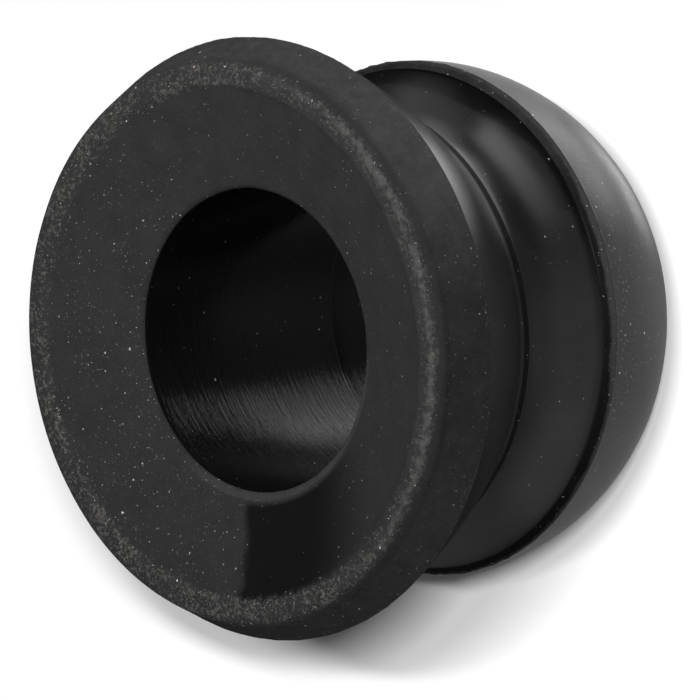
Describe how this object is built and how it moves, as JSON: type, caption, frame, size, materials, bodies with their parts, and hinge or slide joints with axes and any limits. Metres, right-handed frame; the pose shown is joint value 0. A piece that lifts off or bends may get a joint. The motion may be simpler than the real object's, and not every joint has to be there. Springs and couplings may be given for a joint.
{
  "type": "rubber grommet",
  "caption": "Moulded rubber grommet with a dished flange, a hollow panel groove, a domed head and a straight through bore.",
  "frame": {"origin": "centre of the head's flat end, on the bore's axis", "axes": "+Z along the bore's axis, from the head up to the flange; the part is round, so X and Y are alike"},
  "size_m": [0.0298, 0.0298, 0.0225],
  "materials": {
    "rubber": "matte"
  },
  "bodies": {
    "root": {"grommet": "rubber"}
  },
  "joints": []
}
